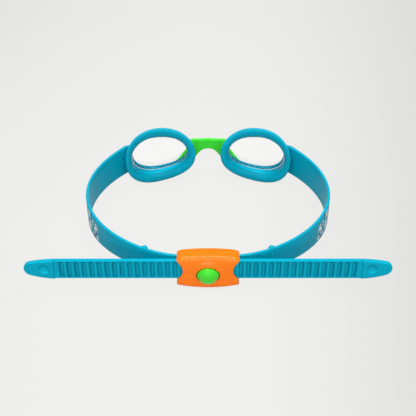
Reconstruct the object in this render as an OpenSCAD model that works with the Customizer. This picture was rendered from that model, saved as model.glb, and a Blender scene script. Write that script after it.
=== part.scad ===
// Children's swim goggles with a push-button strap adjuster at the back.
// +Z is up, the lenses face +Y and the adjuster clip is at -Y. Sizes in millimetres.
// The right-hand pieces are modelled and the left-hand ones are their mirror images.

/* [Overall] */
// Depth from the button's dome to the front of the nose bridge
overall_d = 137; // [125:1:160]
// Distance between the middles of the two eyecups
eye_gap = 64; // [60:0.5:72]

/* [Eyecup] */
// Width of the face rim
cup_w = 47; // [42:0.5:54]
// Height of the face rim
cup_h = 40.3; // [36:0.1:46]
// Depth from the middle of the face rim to the front of the lens frame
cup_depth = 11.6; // [9:0.1:16]
// How far the temple end of the rim drops, in degrees
cup_roll = 4.5; // [0:0.5:10]
// Squareness of the rim's outline, where 2 is an ellipse
cup_square = 2.2; // [2:0.05:2.8]
// Extra height towards the temple, as a share
cup_egg = 0.13; // [0:0.01:0.2]
// Backward slope of the rim towards the temple
rim_slope = 0.239; // [0.1:0.01:0.35]
// Backward curve of the rim, per millimetre squared
rim_bow = 0.012; // [0.006:0.001:0.016]
// Width of the soft lip that lies on the face, at the top and bottom
lip_w = 6.4; // [4:0.1:8]
// Width of the lip at the sides, as a share
lip_side = 0.71; // [0.6:0.01:1]
// Thickness of the soft lip at its edge
lip_t = 1.3; // [0.8:0.1:2]

/* [Lens and frame] */
// Thickness of the lens window
lens_t = 1.7; // [1.2:0.1:2.5]
// Backward slope of the lens towards the temple
lens_slope = 0.15; // [0.05:0.01:0.25]
// Backward curve of the lens, per millimetre squared
lens_bow = 0.004; // [0.002:0.001:0.008]
// Wall of the lens frame outside the lens flange
frame_wall = 1; // [0.8:0.1:1.6]
// How far the lens frame lies inside the face rim at the sides
frame_side = 1.7; // [0.5:0.1:4]
// How far the lens frame lies inside the face rim at the top and bottom
frame_rim = 5.65; // [3:0.05:7]
// How far the lens sits towards the temple from the middle of the rim
lens_out = 1.3; // [0:0.1:2]
// Depth of the lens frame from front to back
frame_d = 8; // [6.5:0.1:9]
// Thickness of the arm that carries the strap
arm_t = 2.8; // [2:0.1:4]
// Length of the tongue that is moulded into the strap
tongue_l = 8; // [5:0.5:12]

/* [Nose bridge] */
// Height of the bridge's straight top edge
bridge_top = 26.7; // [24:0.1:32]
// Height of the middle of the arch under the bridge
bridge_arch = 20.4; // [16:0.1:22]
// Thickness of the bridge from front to back
bridge_t = 3; // [2:0.1:4]
// Thickness of the bridge's ends in front of the lens frames
wrap_t = 1.8; // [1.2:0.1:2.5]
// How far the ends reach over the clear windows
wrap_in = 3.2; // [1:0.1:5]

/* [Strap] */
// Thickness of the strap
strap_t = 1.8; // [1.4:0.1:2.4]
// Width of the strap at the lens frame
strap_w = 19.7; // [15:0.1:24]
// Width of the strap in the clip and of its tail
tail_w = 11.3; // [8:0.1:12]
// Height of the strap's middle at the lens frame
strap_z = 18.6; // [15:0.1:22]
// How far the strap is drawn out sideways round the head
strap_bow = 84.8; // [75:0.1:95]
// Distance of the stop nub from the middle, along X
nub_x = 34.8; // [30:0.1:45]

/* [Tail] */
// Distance from the middle to the end of a tail
tail_end = 99.3; // [85:0.1:120]
// Thickness of the ribbed tail
tail_t = 2.5; // [2:0.1:3]
// Length of the plain tip
tip_l = 17.1; // [13:0.1:22]
// Width of the tip at its shoulder
tip_w = 11.8; // [9:0.1:12.4]
// How far the tip stands proud of the ribs
tip_proud = 0.6; // [0.2:0.1:1]
// Radius of the tip's long edges
tip_edge_r = 90; // [60:1:140]
// How far before the shoulder the long edges start to curve
tip_lead = 10; // [0:1:16]
// Radius of the finger dimple
dimple_r = 2.9; // [2:0.1:4]
// Depth of the finger dimple
dimple_d = 1.1; // [0.5:0.1:1.4]
// Distance from one rung to the next
rung_pitch = 4; // [3:0.1:5]
// Width of a groove between rungs
groove_w = 2.4; // [1.6:0.1:3]
// Depth of a groove
groove_d = 0.7; // [0.4:0.1:1]
// Width of the rail along each edge
rail_w = 0.9; // [0.6:0.1:1.5]

/* [Clip] */
// Width of the clip
clip_w = 34; // [30:0.5:42]
// Height of the clip above the strap, in the middle
clip_over = 2.85; // [2.4:0.05:5]
// Height of the clip below the strap, in the middle
clip_under = 6.15; // [5.5:0.05:8]
// Drop of the arched top edge at the sides
top_arch = 1.3; // [0.6:0.1:2]
// Rise of the arched bottom edge at the sides
low_arch = 2; // [1:0.1:3]
// Radius of the clip's corners, seen from behind
clip_corner = 1.1; // [0.4:0.1:2]
// Radius of the clip's rounded front edge
clip_edge = 1.8; // [0.8:0.1:2.4]
// Wall of the cover and of the base
clip_wall = 1.2; // [0.9:0.1:1.6]
// Depth of each side notch
notch_d = 3.4; // [2:0.1:4]
// Height of the mound round the button
mound_h = 0.9; // [0.4:0.1:1.4]
// Radius of the mound's foot
mound_r = 8.6; // [7.5:0.1:8.6]

/* [Adjuster] */
// Radius of the pins that the strap turns round
pin_r = 1.6; // [1.2:0.1:2]
// Distance from the middle to each pin
pin_x = 11.5; // [10.5:0.1:13]
// Half width of the oval button
button_a = 6.2; // [5:0.1:6.6]
// Half height of the oval button
button_b = 4.85; // [4:0.05:5]
// How far the button stands in front of the clip
button_proud = 3.35; // [2.5:0.05:4]
// How far the button can be pressed
button_travel = 2; // [1.5:0.1:2]
// Thickness of the spring's wire
wire_d = 0.55; // [0.4:0.05:0.7]
// Outer diameter of the spring
coil_d = 5.2; // [4:0.1:6]

/* [Hidden] */

teal = "darkturquoise";
green = "limegreen";
orange = "darkorange";

// Fits
pin_gap = 0.05;     // strap round its pin
bore_gap = 0.03;    // pin in the base's ears
layer_gap = 0.25;   // strap layers inside the clip
cover_gap = 0.1;    // base inside the cover
slide_gap = 0.25;   // button in its hole and guides
mould_gap = 0.05;   // strap round the tongue, lens in its frame
bridge_gap = 0.1;   // bridge on the lens frames
notch_gap = 0.15;   // tail in the side notch

// Eyecup: s runs from the face rim (0) to the lens front (1), and places are given by s, the
// inset from the outline there and the distance dy in front. The opening moves towards the temple.
ring_n = 48;
cup_x = eye_gap / 2;
nose_lead = lens_slope * lens_slope / (4 * lens_bow);
lens_y = overall_d / 2 - bridge_gap - wrap_t - nose_lead;
rim_y = lens_y - cup_depth;
lens_step = 0.8;
skirt_in = frame_wall + lens_step;     // inset of the lens's side wall from the frame's outline
glass_in = skirt_in + lens_step;       // inset of the clear window
glass_d = 0.2;                         // depth of the window behind the lens front
flange_t = 1.1;
flange_d = frame_d - 1.1 - flange_t;   // depth of the flange behind the lens front
seal_front = -flange_d - flange_t - mould_gap;

function pow_signed(v) = sign(v) * pow(abs(v), 2 / cup_square);
function cup_u(t, inset, s, k) =
  (cup_w / 2 - s * frame_side - inset * mix(lip_side, 1, s)) * k * pow_signed(cos(t)) +
  lens_out * min(1, s + inset / (1.5 * lip_w));
function cup_v(t, inset, s, k) =
  (cup_h / 2 - s * frame_rim - inset) * k * pow_signed(sin(t)) * (1 + cup_egg * pow_signed(cos(t)));
function roll_x(u, v) = u * cos(cup_roll) + v * sin(cup_roll);
function roll_z(u, v) = v * cos(cup_roll) - u * sin(cup_roll);
cup_z = -min([for (t = [0:1:359]) roll_z(cup_u(t, 0, 0, 1), cup_v(t, 0, 0, 1))]);

function rim_at(dx) = rim_y - rim_slope * dx - rim_bow * dx * dx;
function lens_at(dx) = lens_y - lens_slope * dx - lens_bow * dx * dx;

function cup_point(t, inset, s, dy, k = 1) =
  let (u = cup_u(t, inset, s, k), v = cup_v(t, inset, s, k), dx = roll_x(u, v))
  [cup_x + dx, (1 - s) * rim_at(dx) + s * lens_at(dx) + dy, cup_z + roll_z(u, v)];
function cup_ring(inset, s, dy, k = 1) =
  [for (i = [0:ring_n - 1]) cup_point(i * 360 / ring_n, inset, s, dy, k)];

// Skin through rings of equal, even length; a closed one joins its last ring to its first.
// An end is closed by strips between the two halves of its ring.
function halves(q) = [[q[2], q[1], q[0]], [q[3], q[2], q[0]]];

module loft(rings, closed = false) {
  n = len(rings[0]);
  m = len(rings);
  sides = [for (i = [0:m - (closed ? 1 : 2)], j = [0:n - 1])
    [i * n + j, i * n + (j + 1) % n, (i + 1) % m * n + (j + 1) % n, (i + 1) % m * n + j]];
  first_cap = [for (j = [0:n / 2 - 2]) [n - 1 - j, n - 2 - j, j + 1, j]];
  last_cap = [for (j = [0:n / 2 - 2]) [for (k = [j, j + 1, n - 2 - j, n - 1 - j]) (m - 1) * n + k]];
  quads = concat(sides, closed ? [] : concat(first_cap, last_cap));
  polyhedron([for (r = rings) each r], [for (q = quads) each halves(q)], convexity = 8);
}

module mirrored() {
  mirror([1, 0, 0]) children();
}

// Clear lens: a bowed window with a short side wall and a flange behind the frame's lip
module lens() {
  color("lightcyan", 0.4)
  loft([
    cup_ring(glass_in, 1, -glass_d, 0.2), cup_ring(glass_in, 1, -glass_d, 0.7),
    cup_ring(skirt_in + 0.5, 1, -glass_d), cup_ring(skirt_in, 1, -glass_d - 0.5),
    cup_ring(skirt_in, 1, -flange_d), cup_ring(frame_wall + mould_gap, 1, -flange_d),
    cup_ring(frame_wall + mould_gap, 1, -flange_d - flange_t), cup_ring(glass_in, 1, -flange_d - flange_t),
    cup_ring(glass_in, 1, -lens_t - glass_d), cup_ring(glass_in, 1, -lens_t - glass_d, 0.7),
    cup_ring(glass_in, 1, -lens_t - glass_d, 0.2)
  ]);
}

// Soft seal: a broad lip on the face, a flared wall and a collar inside the frame
module eyecup_seal() {
  color(teal)
  loft([
    cup_ring(0, 0, lip_t), cup_ring(0, 0, lip_t / 3), cup_ring(lip_t / 2, 0, 0),
    cup_ring(lip_w - 0.9, 0, 0.5), cup_ring(lip_w, 0, 1.5),
    cup_ring(glass_in, 1, seal_front), cup_ring(frame_wall + mould_gap, 1, seal_front),
    cup_ring(frame_wall + mould_gap, 1, -frame_d - mould_gap), cup_ring(0.6, 1, -frame_d - mould_gap),
    cup_ring(1.8, 0.12, lip_t)
  ], closed = true);
}

// Strap: a plan curve from the clip to the arm, with a width and a height that grow towards the arm
clip_h = tail_w + clip_over + clip_under;
clip_z = clip_under + tail_w / 2;    // the strap's mid height in the clip
clip_front = -overall_d / 2 + button_proud;
turn_r = pin_r + pin_gap + strap_t / 2;
turn_out = turn_r + strap_t / 2;
pin_y = clip_front + clip_wall + layer_gap + turn_out;
tail_y = pin_y - turn_r;
loop_y = pin_y + turn_r;
clip_back = loop_y + strap_t / 2 + layer_gap + clip_wall;
clip_exit = clip_w / 2 + 0.5;
arm_dir = [-0.622, 0.783];
arm_lead = 43;
arm_end = [cup_x + cup_w / 2 + 0.9, lens_y - 13.2];
plan = [
  [clip_exit, loop_y], [clip_exit + 25.5, loop_y], [strap_bow + 1.7, loop_y + 29.7],
  arm_end - arm_lead * arm_dir, arm_end
];

function bezier(p, t) = len(p) == 1 ? p[0] :
  bezier([for (i = [0:len(p) - 2]) (1 - t) * p[i] + t * p[i + 1]], t);
function unit(v) = v / norm(v);
function mix(a, b, f) = a + (b - a) * f;
function plan_dir(t) = unit(bezier([for (i = [0:3]) plan[i + 1] - plan[i]], t));
function width_at(t) = tail_w + (strap_w - tail_w) * (1.23 * t - 0.23 * pow(t, 4));
function height_at(t) = clip_z + (strap_z - clip_z) * (0.75 * t + 0.25 * t * t);

// Cross-section with chamfered edges at a place p with the unit normal n
function strap_ring(p, n, z, t, w, c = 0.4) =
  [for (q = [
      [c - t, -w], [t - c, -w], [t, c - w], [t, w - c], [t - c, w], [c - t, w], [-t, w - c], [-t, c - w]
    ])
    [p[0] + n[0] * q[0], p[1] + n[1] * q[0], z + q[1]]];
function side_of(d) = [-d[1], d[0]];
function plan_ring(t, thick, width, c = 0.4) =
  strap_ring(bezier(plan, t), side_of(plan_dir(t)), height_at(t), thick / 2, width / 2, c);
function turn_ring(a, c = 0.4) =
  strap_ring([pin_x + turn_r * cos(a), pin_y + turn_r * sin(a)], [cos(a), sin(a)], clip_z,
    strap_t / 2, tail_w / 2, c);
// The strap thickens where it is moulded over the tongue
function thick_at(t) = strap_t + (arm_t - strap_t) * pow(max(0, (t - 0.86) / 0.14), 2);

tongue_t = 1;
tongue_w = strap_w * 0.65;
tongue_start = 1 - tongue_l / (4 * arm_lead);
hole_r = 1.4;

module tongue(grow) {
  t = tongue_t / 2 + grow;
  w = tongue_w / 2 + grow;
  loft(concat(
    [for (i = [0:6]) plan_ring(mix(tongue_start, 1, i / 6), 2 * t, 2 * w, 0.3)],
    [strap_ring(arm_end + arm_dir * 0.6, side_of(arm_dir), strap_z, t, w, 0.3)]
  ));
}

module tongue_holes(r) {
  middle = arm_end - arm_dir * tongue_l / 2;
  for (dz = [-0.28, 0.28] * tongue_w)
    translate([middle[0], middle[1], strap_z + dz])
      rotate([90, 0, atan2(arm_dir[1], arm_dir[0])]) cylinder(r = r, h = 6, center = true, $fn = 24);
}

// Temple arm: from the strap's end to the middle of the frame's wall, whose outline it follows
arm_section = [
  [0.6, -1], [1, -0.93], [1, -0.45], [1, 0], [1, 0.45], [1, 0.93], [0.6, 1],
  [-0.6, 1], [-1, 0.93], [-1, 0.45], [-1, 0], [-1, -0.45], [-1, -0.93], [-0.6, -1]
];

function arm_start(q) = let (p = arm_end + side_of(arm_dir) * q[0] * arm_t / 2)
  [p[0], p[1], strap_z + q[1] * strap_w / 2];
function arm_root(q) =
  cup_point(mix(-36, 28, (q[1] + 1) / 2), frame_wall / 2, 1, mix(-1.4, 1.9 - frame_d, (q[0] + 1) / 2));

module arm() {
  loft([for (f = [0, 0.35, 0.7, 1]) [for (q = arm_section) mix(arm_start(q), arm_root(q), f)]]);
}

// Lens frame: a bezel with an inner lip, and the temple arm with its perforated tongue
module lens_frame() {
  color(teal) {
    loft([
      cup_ring(frame_wall, 1, -frame_d), cup_ring(frame_wall, 1, -flange_d + mould_gap),
      cup_ring(skirt_in - mould_gap, 1, -flange_d + mould_gap), cup_ring(skirt_in - mould_gap, 1, 0),
      cup_ring(0.6, 1, 0), cup_ring(0, 1, -0.8), cup_ring(0, 1, -frame_d)
    ], closed = true);
    arm();
    difference() {
      tongue(0);
      tongue_holes(hole_r);
    }
  }
}

nub_t = [for (t = [0:0.005:1]) if (bezier(plan, t)[0] >= nub_x) t][0];

// Rounded bar across the inner face that stops the strap at the clip
module stop_nub() {
  place = bezier(plan, nub_t) + side_of(plan_dir(nub_t)) * (strap_t / 2 - 0.5);
  width = width_at(nub_t) - 1;
  translate([place[0], place[1], height_at(nub_t) - width / 2]) cylinder(r = 1.6, h = width, $fn = 24);
}

// Head strap: round the guide pin, out of the clip and round the head to the arm's tongue
module head_strap() {
  turn_steps = 14;
  loop_steps = 40;
  color(teal)
  difference() {
    union() {
      loft(concat(
        [for (i = [0:turn_steps]) turn_ring(270 - 180 * i / turn_steps)],
        [for (i = [0:loop_steps]) let (t = i / loop_steps) plan_ring(t, thick_at(t), width_at(t))]
      ));
      stop_nub();
    }
    turn_grooves();
    difference() {
      tongue(mould_gap);
      tongue_holes(hole_r - mould_gap);
    }
  }
}

// Grooves on the outside of the turn, one facing the lock block
turn_pitch = rung_pitch / turn_r * 180 / PI;
turn_groove = turn_pitch - (rung_pitch - groove_w) / turn_out * 180 / PI;

module turn_grooves() {
  translate([pin_x, pin_y, clip_z])
    rotate([0, 0, 180 - turn_groove / 2])
      rotate_extrude(angle = turn_groove, $fn = 72)
        translate([turn_out - groove_d, rail_w - tail_w / 2]) square([groove_d * 2, tail_w - 2 * rail_w]);
}

// Free tail: ribbed strip, thicker than the strap behind the pin, with a tip and a finger dimple
first_groove = rung_pitch + pin_x - turn_r * PI / 2;
shoulder_x = tail_end - tip_l;
tip_side = sqrt(tip_edge_r * tip_edge_r - tip_lead * tip_lead) - tip_w / 2;
tip_reach = tip_l + tip_lead;
tip_end_r = (tip_edge_r * tip_edge_r - tip_reach * tip_reach - tip_side * tip_side) /
  (2 * (tip_edge_r - tip_reach));

module tip_outline() {
  intersection() {
    translate([shoulder_x, -tip_w / 2]) square([tip_l - tip_end_r, tip_w]);
    translate([shoulder_x - tip_lead, -tip_side]) circle(r = tip_edge_r, $fn = 720);
    translate([shoulder_x - tip_lead, tip_side]) circle(r = tip_edge_r, $fn = 720);
  }
  translate([tail_end - tip_end_r, 0]) circle(r = tip_end_r, $fn = 48);
}

module strap_tail() {
  face_y = tail_y - strap_t / 2;
  past_pin = pin_x + pin_r + 0.3;
  ball = (dimple_r * dimple_r + dimple_d * dimple_d) / (2 * dimple_d);
  color(teal)
  difference() {
    union() {
      translate([0, 0, clip_z - tail_w / 2]) linear_extrude(tail_w) polygon([
        [pin_x, face_y], [shoulder_x + 1, face_y], [shoulder_x + 1, face_y + tail_t],
        [past_pin + 1.3, face_y + tail_t], [past_pin, face_y + strap_t], [pin_x, face_y + strap_t]
      ]);
      translate([0, face_y + tail_t, clip_z]) rotate([90, 0, 0])
        linear_extrude(tail_t + tip_proud) tip_outline();
    }
    for (x = [first_groove + rung_pitch:rung_pitch:shoulder_x - groove_w / 2])
      translate([x - groove_w / 2, face_y - 1, clip_z + rail_w - tail_w / 2])
        cube([groove_w, 1 + groove_d, tail_w - 2 * rail_w]);
    translate([shoulder_x + 6.4, face_y - tip_proud + dimple_d - ball, clip_z]) sphere(r = ball, $fn = 64);
  }
}

// Clip: both shells are cut from discs whose rims make the arched edges
top_r = (clip_w * clip_w / 4 + top_arch * top_arch) / (2 * top_arch);
low_r = (clip_w * clip_w / 4 + low_arch * low_arch) / (2 * low_arch);

// Disc with its axis along Y and a rounded front edge
module edge_disc(r, y0, y1, edge) {
  translate([0, y0, 0]) rotate([-90, 0, 0]) rotate_extrude($fn = 360) {
    square([r - edge, y1 - y0]);
    translate([0, edge]) square([r, y1 - y0 - edge]);
    translate([r - edge, edge]) circle(r = edge, $fn = 32);
  }
}

// Solid between two arched edges, set in from the clip's outline
module arched(inset, y0, y1, edge) {
  intersection() {
    translate([0, 0, clip_h - top_r]) edge_disc(top_r - inset, y0, y1, edge);
    translate([0, 0, low_r]) edge_disc(low_r - inset, y0, y1, edge);
    children();
  }
}

// Block with rounded front edges at its sides
module clip_block(y0, y1, edge) {
  linear_extrude(clip_h) {
    translate([-clip_w / 2, y0 + edge]) square([clip_w, y1 - y0 - edge]);
    translate([edge - clip_w / 2, y0]) square([clip_w - 2 * edge, y1 - y0]);
    for (s = [-1, 1]) translate([s * (clip_w / 2 - edge), y0 + edge]) circle(r = edge, $fn = 32);
  }
}

// Bar along Y whose four corners round off the clip's outline, crossing the arches a little out
module corner_bar(y0, y1) {
  out = 0.03;
  share = pow(1 - 2 * clip_corner / clip_w, 2);
  low = low_arch * share + clip_corner - out;
  high = clip_h - top_arch * share - clip_corner + out;
  translate([0, y1, 0]) rotate([90, 0, 0]) linear_extrude(y1 - y0) {
    translate([-clip_w / 2, low]) square([clip_w, high - low]);
    translate([clip_corner - clip_w / 2, 0]) square([clip_w - 2 * clip_corner, clip_h]);
    for (s = [-1, 1], z = [low, high])
      translate([s * (clip_w / 2 - clip_corner), z]) circle(r = clip_corner, $fn = 48);
  }
}

// Oval of four arcs with half axes a and b and the end radius e
module oval(a, b, e) {
  big = (pow(a - e, 2) + b * b - e * e) / (2 * (b - e));
  join = (a - e) * big / (big - e);
  intersection() {
    square([2 * join, 2 * b], center = true);
    translate([0, b - big]) circle(r = big, $fn = 96);
    translate([0, big - b]) circle(r = big, $fn = 96);
  }
  for (s = [-1, 1]) translate([s * (a - e), 0]) circle(r = e, $fn = 48);
}

button_z = clip_z - 2.65;                      // the button lies low in the clip
button_e = button_b - 1.25;

// Oval prism along Y between y0 and y1
module oval_bar(grow, y0, y1) {
  translate([0, y1, button_z]) rotate([90, 0, 0])
    linear_extrude(y1 - y0) oval(button_a + grow, button_b + grow, button_e + grow);
}

notch_half = tail_w / 2 + notch_gap;
notch_r = (notch_half * notch_half + notch_d * notch_d) / (2 * notch_d);
snap_y = clip_back - clip_wall / 2;
base_in = clip_wall + cover_gap;
snap_r = 0.35;
snap_l = 9;
snap_gap = 0.1;

module snap_bars(r, l) {
  for (z = [base_in + snap_gap, clip_h - base_in - snap_gap])
    translate([-l / 2, snap_y, z]) rotate([0, 90, 0]) cylinder(r = r, h = l, $fn = 24);
}

// Mound that the button stands in
module mound() {
  ball = (mound_r * mound_r + mound_h * mound_h) / (2 * mound_h);
  arched(clip_edge * 0.6, clip_front - mound_h, clip_front + mound_h * 1.2, mound_h)
    translate([0, clip_front - mound_h + ball, button_z]) sphere(r = ball, $fn = 180);
}

// Cover: outer shell of the clip with side notches, a mound and the button's hole
module clip_cover() {
  color(orange)
  difference() {
    union() {
      intersection() {
        arched(0, clip_front, clip_back, clip_edge) clip_block(clip_front, clip_back, clip_edge);
        corner_bar(clip_front, clip_back);
      }
      mound();
    }
    arched(clip_wall, clip_front + clip_wall, clip_back + 1, 0.2)
      translate([-clip_w, clip_front, 0]) cube([2 * clip_w, overall_d, clip_h]);
    for (s = [-1, 1])
      translate([s * (clip_w / 2 - notch_d + notch_r), clip_front - 1, clip_z]) rotate([-90, 0, 0])
        cylinder(r = notch_r, h = clip_wall + 2, $fn = 96);
    oval_bar(slide_gap, clip_front - mound_h - 1, clip_front + clip_wall + 1);
    snap_bars(snap_r + snap_gap, snap_l + 6 * snap_gap);
  }
}

cavity_y = clip_front + clip_wall;
floor_y = clip_back - clip_wall;
ridge_r = 0.5;
ridge_x = pin_x - turn_out - 0.1;              // middle of a ridge, whose tip stands in a groove
lock_w = ridge_x - 0.6;                        // half width of the lock block
lock_top = tail_w / 2 - 0.35;
lock_back = floor_y - button_travel - 0.65;    // leaves the travel before the base
spring_y = cavity_y + 1.75;
ear_r = pin_r + 1;
ear_in = tail_w / 2 + layer_gap;
guide_w = 8;
stud_h = 1.1;

// Turns a piece over about the clip's mid height where end is 1
module flipped(end) {
  translate([0, 0, clip_z]) mirror([0, 0, end]) translate([0, 0, -clip_z]) children();
}

// Ear beside the strap, and guide above the lock block; the base's outline trims both
module ear() {
  translate([pin_x - ear_r, pin_y, clip_z + ear_in]) cube([2 * ear_r, clip_back - pin_y, clip_h]);
  translate([pin_x, pin_y, clip_z + ear_in]) cylinder(r = ear_r, h = clip_h, $fn = 48);
}

module guide(front) {
  translate([-guide_w / 2, front, clip_z + lock_top + slide_gap])
    cube([guide_w, clip_back - front, clip_h]);
}

// Base: plate with ears for the guide pins, a stud for the spring and guides for the button
module clip_base() {
  color(orange)
  difference() {
    union() {
      arched(base_in, floor_y, clip_back, 0.1)
        translate([-clip_w / 2, floor_y, 0]) cube([clip_w, clip_wall, clip_h]);
      arched(base_in, cavity_y + layer_gap, clip_back, 0.1)
        for (side = [0, 1], end = [0, 1]) mirror([side, 0, 0]) flipped(end) ear();
      arched(base_in, cavity_y, clip_back, 0.1) {
        guide(cavity_y + 2.5);
        flipped(1) guide(pin_y + 0.3);
      }
      translate([0, floor_y, clip_z]) rotate([90, 0, 0])
        cylinder(r = coil_d / 2 - wire_d - slide_gap, h = stud_h, $fn = 32);
      snap_bars(snap_r, snap_l);
    }
    for (s = [-1, 1]) translate([s * pin_x, pin_y, 0]) cylinder(r = pin_r + bore_gap, h = clip_h, $fn = 48);
  }
}

pin_end = base_in + 0.3;      // distance of a pin's end from the clip's edge
pin_low = low_arch * pow(2 * pin_x / clip_w, 2) + pin_end;
pin_high = clip_h - top_arch * pow(2 * pin_x / clip_w, 2) - pin_end;

module guide_pin() {
  color("silver")
  translate([pin_x, pin_y, pin_low]) cylinder(r = pin_r, h = pin_high - pin_low, $fn = 48);
}

// Button: oval dome, a flange behind the cover and the lock block whose ridges hold the ribs
module release_button() {
  dome_r = 8;
  front = -overall_d / 2;
  flange = 0.4;
  lock_front = cavity_y + layer_gap;
  ridge_l = 2 * lock_top - 2;
  color(green) {
    intersection() {
      oval_bar(0, front, lock_front + 0.5);
      translate([0, front + dome_r, button_z]) sphere(r = dome_r, $fn = 96);
    }
    intersection() {
      oval_bar(0, front + dome_r / 2, lock_front + 0.5);
      oval_bar(0, front, lock_front + 0.5);
    }
    translate([-button_a - flange, lock_front, button_z - button_b - flange])
      cube([2 * (button_a + flange), 1, button_b + flange]);
    difference() {
      union() {
        translate([-lock_w, lock_front, clip_z - lock_top])
          cube([2 * lock_w, lock_back - lock_front, 2 * lock_top]);
        for (side = [0, 1]) mirror([side, 0, 0]) translate([0, pin_y, clip_z - ridge_l / 2]) {
          translate([ridge_x, 0, 0]) cylinder(r = ridge_r, h = ridge_l, $fn = 24);
          translate([lock_w - 0.2, 0.05 - ridge_r, 0])
            cube([ridge_x - lock_w + 0.2, 2 * ridge_r - 0.1, ridge_l]);
        }
      }
      translate([0, spring_y, clip_z]) rotate([-90, 0, 0]) cylinder(r = coil_d / 2 + 0.2, h = 10, $fn = 48);
    }
  }
}

// Coil spring along Y between the lock block and the base
spring_l = floor_y - spring_y - wire_d;
coils = 4.5;
coil_steps = 14;
coil_r = (coil_d - wire_d) / 2;

function coil_ring(a, y) =
  [for (b = [0:60:300]) let (r = coil_r + wire_d / 2 * cos(b))
    [r * cos(a), y + wire_d / 2 * sin(b), clip_z + r * sin(a)]];

module button_spring() {
  steps = coils * coil_steps;
  color("lightgrey")
  loft([for (i = [0:steps]) coil_ring(360 * i / coil_steps, spring_y + wire_d / 2 + spring_l * i / steps)]);
}

// Nose bridge: an arch between two ends that wrap the nose side of the lens frames
module bridge_end() {
  first = 250;
  last = 165;
  steps = 18;
  outer = -bridge_gap - 1.1;
  loft([for (i = [0:steps]) let (
      t = first + (last - first) * i / steps,
      reach = frame_wall + (glass_in + wrap_in - frame_wall) * sin(180 * i / steps)
    ) [
      cup_point(t, -bridge_gap, 1, -3), cup_point(t, -bridge_gap, 1, bridge_gap),
      cup_point(t, reach, 1, bridge_gap), cup_point(t, reach, 1, wrap_t - 0.4),
      cup_point(t, reach - 0.6, 1, bridge_gap + wrap_t), cup_point(t, outer + 0.8, 1, bridge_gap + wrap_t),
      cup_point(t, outer, 1, wrap_t - 0.7), cup_point(t, outer, 1, -3)
    ]]);
}

// Cross-section of the arch: share of its height, and side from back (-1) to front (1)
arch_section = [
  [0, 0.7], [0.08, 1], [0.29, 1], [0.5, 1], [0.71, 1], [0.92, 1], [1, 0.7],
  [1, -0.7], [0.92, -1], [0.71, -1], [0.5, -1], [0.29, -1], [0.08, -1], [0, -0.7]
];
arch_in = -bridge_gap - 0.5;

function arch_middle(q) =
  [0, lens_y + nose_lead - 0.2 + q[1] * bridge_t / 2, mix(bridge_arch, bridge_top, q[0])];
function arch_root(q) = cup_point(mix(222, 145, q[0]), arch_in, 1, -0.6 + q[1] * bridge_t / 2);
// The end's place is reached along a parabola, which draws the arch
function arch_point(q, f) = let (a = arch_middle(q), b = arch_root(q))
  [f * b[0], mix(a[1], b[1], f * f), mix(a[2], b[2], f * f)];

module nose_bridge() {
  steps = 8;
  color(green) {
    bridge_end();
    mirrored() bridge_end();
    loft([for (i = [-steps:steps]) [for (q = arch_section) arch_point(q, i / steps)]]);
  }
}

mirrored() lens();  // lens_left
lens();  // lens_right
mirrored() eyecup_seal();  // eyecup_seal_left
eyecup_seal();  // eyecup_seal_right
mirrored() lens_frame();  // lens_frame_left
lens_frame();  // lens_frame_right
nose_bridge();
mirrored() head_strap();  // head_strap_left
head_strap();  // head_strap_right
mirrored() strap_tail();  // strap_tail_left
strap_tail();  // strap_tail_right
clip_cover();
clip_base();
mirrored() guide_pin();  // guide_pin_left
guide_pin();  // guide_pin_right
release_button();
button_spring();
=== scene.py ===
from functools import partial
import math
import bmesh
import bpy
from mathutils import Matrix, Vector


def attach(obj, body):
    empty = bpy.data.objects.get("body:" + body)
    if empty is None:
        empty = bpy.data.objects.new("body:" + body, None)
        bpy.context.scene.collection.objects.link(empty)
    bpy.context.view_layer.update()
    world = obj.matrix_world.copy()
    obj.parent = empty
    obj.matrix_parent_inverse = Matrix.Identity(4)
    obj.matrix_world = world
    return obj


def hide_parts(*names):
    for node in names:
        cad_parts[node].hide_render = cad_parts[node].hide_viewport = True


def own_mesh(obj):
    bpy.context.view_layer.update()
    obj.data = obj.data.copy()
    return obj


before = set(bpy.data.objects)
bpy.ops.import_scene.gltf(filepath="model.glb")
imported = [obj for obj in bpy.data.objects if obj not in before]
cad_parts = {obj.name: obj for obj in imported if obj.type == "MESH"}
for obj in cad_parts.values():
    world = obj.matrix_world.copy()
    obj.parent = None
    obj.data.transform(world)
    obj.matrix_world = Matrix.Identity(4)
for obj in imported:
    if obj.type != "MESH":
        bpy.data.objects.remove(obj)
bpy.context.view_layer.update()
print("frame loaded:", len(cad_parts), "nodes")


def fillNode(tree, node, given):      # given holds plain values, or the sockets that feed the inputs
    for key, value in given.items():
        if isinstance(value, bpy.types.NodeSocket):
            tree.links.new(value, node.inputs[key])
        else:
            node.inputs[key].default_value = value


def addNode(tree, kind, given=None, **settings):
    node = tree.nodes.new("ShaderNode" + kind)
    for key, value in settings.items():
        setattr(node, key, value)
    fillNode(tree, node, given or {})
    return node


def addMath(tree, operation, *terms, clamp=False):
    node = addNode(tree, "Math", dict(enumerate(terms)), operation=operation, use_clamp=clamp)
    return node.outputs[0]


def scaleTone(tree, colour, factor):
    return addNode(tree, "VectorMath", {0: colour, "Scale": factor}, operation="SCALE").outputs[0]


def mixShaders(tree, share, first, second):
    return addNode(tree, "MixShader", {"Fac": share, 1: first.outputs[0], 2: second.outputs[0]}).outputs[0]


view = {
    "place": (0, -0.3380, 0.2206),
    "tilt": 58.265,
    "lens": 55.1,
    "skyLevel": 0.3,
    "wallTint": (0.81, 0.81, 0.79, 1),
}

lamps = {      # place, width, height, power
    "topLamp": ((0, 0.05, 0.9), 0.6, 0.55, 8),
    "backLamp": ((0, -0.55, 0.42), 1.0, 0.18, 2.4),
    "lowLamp": ((0, -0.6, 0.09), 0.7, 0.06, 0.64),
}


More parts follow.
